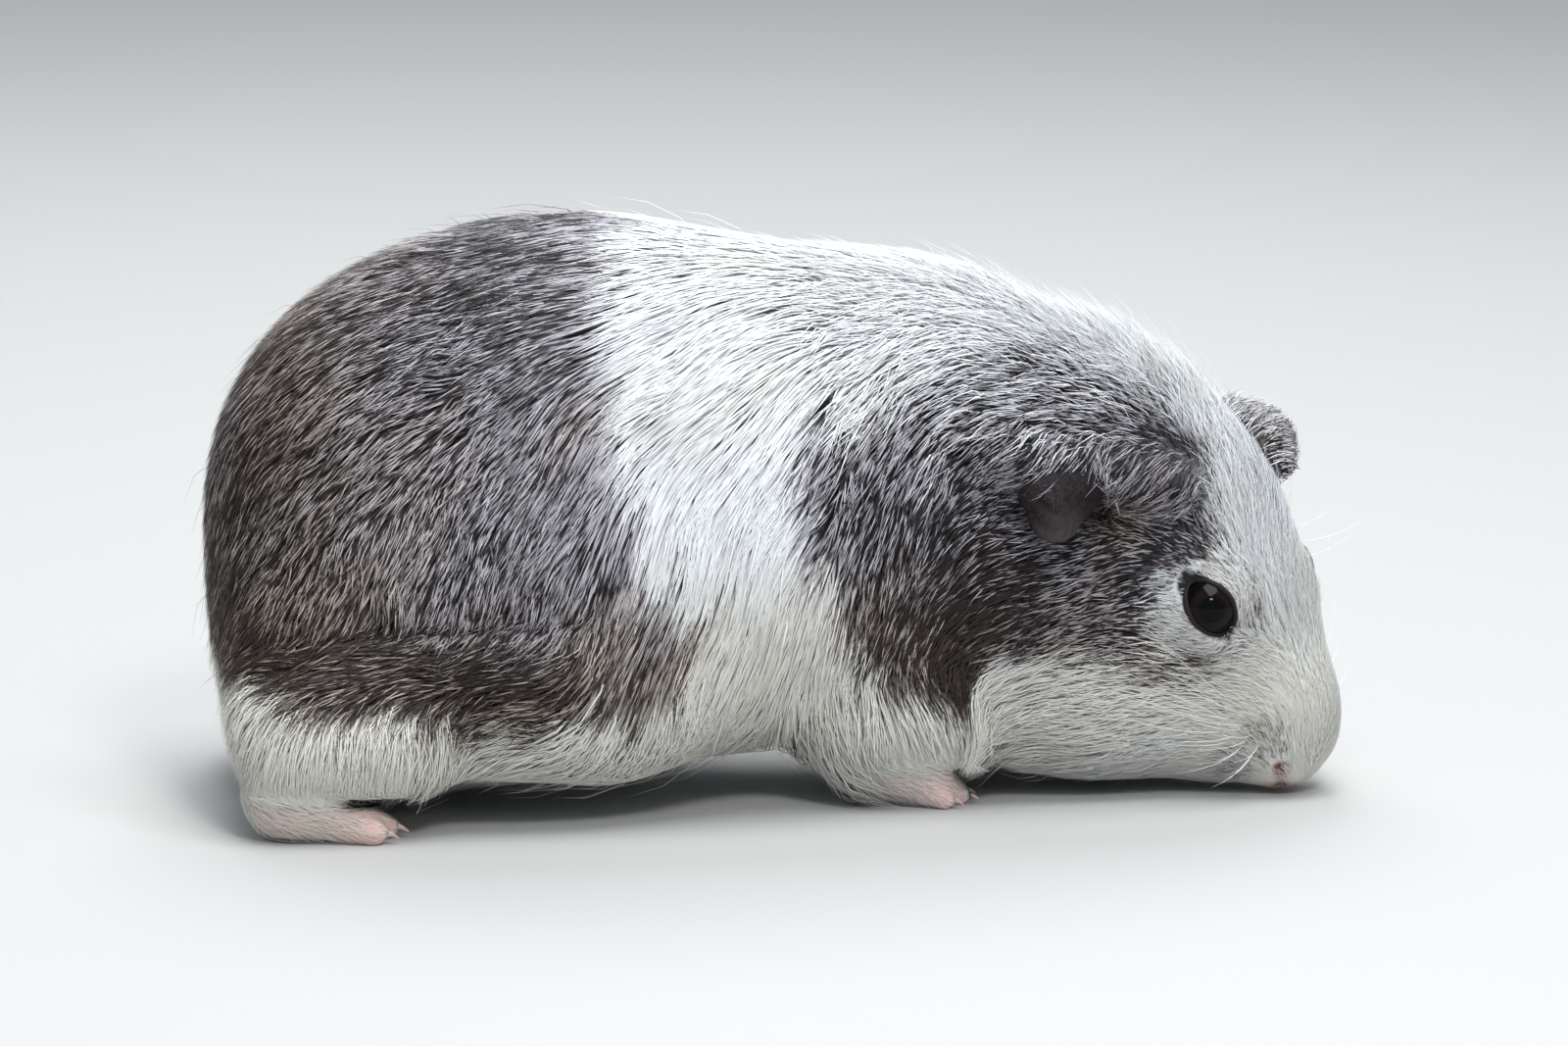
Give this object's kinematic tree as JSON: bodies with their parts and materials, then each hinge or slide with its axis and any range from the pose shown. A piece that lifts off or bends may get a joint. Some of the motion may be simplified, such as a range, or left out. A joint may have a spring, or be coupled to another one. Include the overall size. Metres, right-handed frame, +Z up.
{
  "type": "guinea pig",
  "caption": "Long-haired grey and white guinea pig standing on all four feet, rounded body, head turned aside and lowered to sniff the ground.",
  "frame": {"origin": "on the floor, under the middle of the whole animal's box", "axes": "+X from rump to head along the trunk, +Y to the animal's left, +Z up"},
  "size_m": [0.2138, 0.0988, 0.1097],
  "materials": {
    "grey_fur": "soft long fur, grey-brown and ticked with pale tips",
    "white_fur": "soft long fur, silky white, cream low down",
    "ear_skin": "thin bare skin, dark grey with a pinkish edge",
    "foot_skin": "bare pink skin with sparse white hair",
    "nose_skin": "moist reddish skin",
    "eye": "wet gloss, nearly black",
    "claw": "pale translucent horn"
  },
  "bodies": {
    "root": {"head": "grey_fur", "neck": "grey_fur", "chest": "white_fur", "trunk": "grey_fur", "rump": "grey_fur", "nose": "nose_skin", "ear_right": "ear_skin", "ear_left": "ear_skin", "eye_right": "eye", "eye_left": "eye", "fore_leg_left": "white_fur", "fore_leg_right": "white_fur", "hind_leg_left": "white_fur", "hind_leg_right": "white_fur", "fore_foot_left": "foot_skin", "fore_foot_right": "foot_skin", "hind_foot_left": "foot_skin", "hind_foot_right": "foot_skin", "fore_claw_left_1": "claw", "fore_claw_left_2": "claw", "fore_claw_left_3": "claw", "fore_claw_left_4": "claw", "fore_claw_right_1": "claw", "fore_claw_right_2": "claw", "fore_claw_right_3": "claw", "fore_claw_right_4": "claw", "hind_claw_left_1": "claw", "hind_claw_left_2": "claw", "hind_claw_left_3": "claw", "hind_claw_right_1": "claw", "hind_claw_right_2": "claw", "hind_claw_right_3": "claw"}
  },
  "joints": []
}
